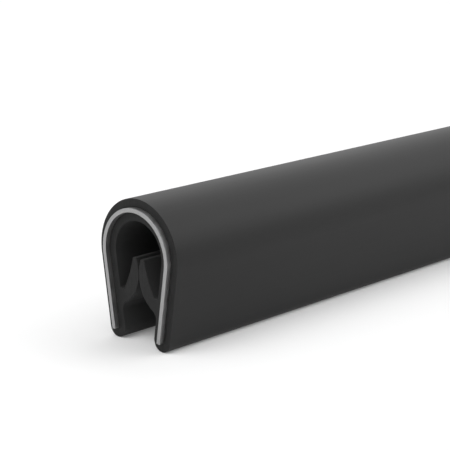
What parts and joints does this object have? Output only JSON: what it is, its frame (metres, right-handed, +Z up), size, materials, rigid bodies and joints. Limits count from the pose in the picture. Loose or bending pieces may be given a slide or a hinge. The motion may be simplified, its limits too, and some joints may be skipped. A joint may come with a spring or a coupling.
{
  "type": "edge trim seal",
  "caption": "Length of black rubber edge trim: a rounded U-section with two inner gripping lips and a steel strip inside the wall.",
  "frame": {"origin": "on the floor under the middle of the trim, midway between the legs and midway along the length", "axes": "+X across the section, +Y along the trim's length, +Z up from the leg ends to the crown"},
  "size_m": [0.0108, 1, 0.0145],
  "materials": {
    "rubber": "matt black, smooth extruded skin",
    "steel": "bare cut steel"
  },
  "bodies": {
    "root": {"rubber_profile": "rubber", "steel_strip": "steel"}
  },
  "joints": []
}
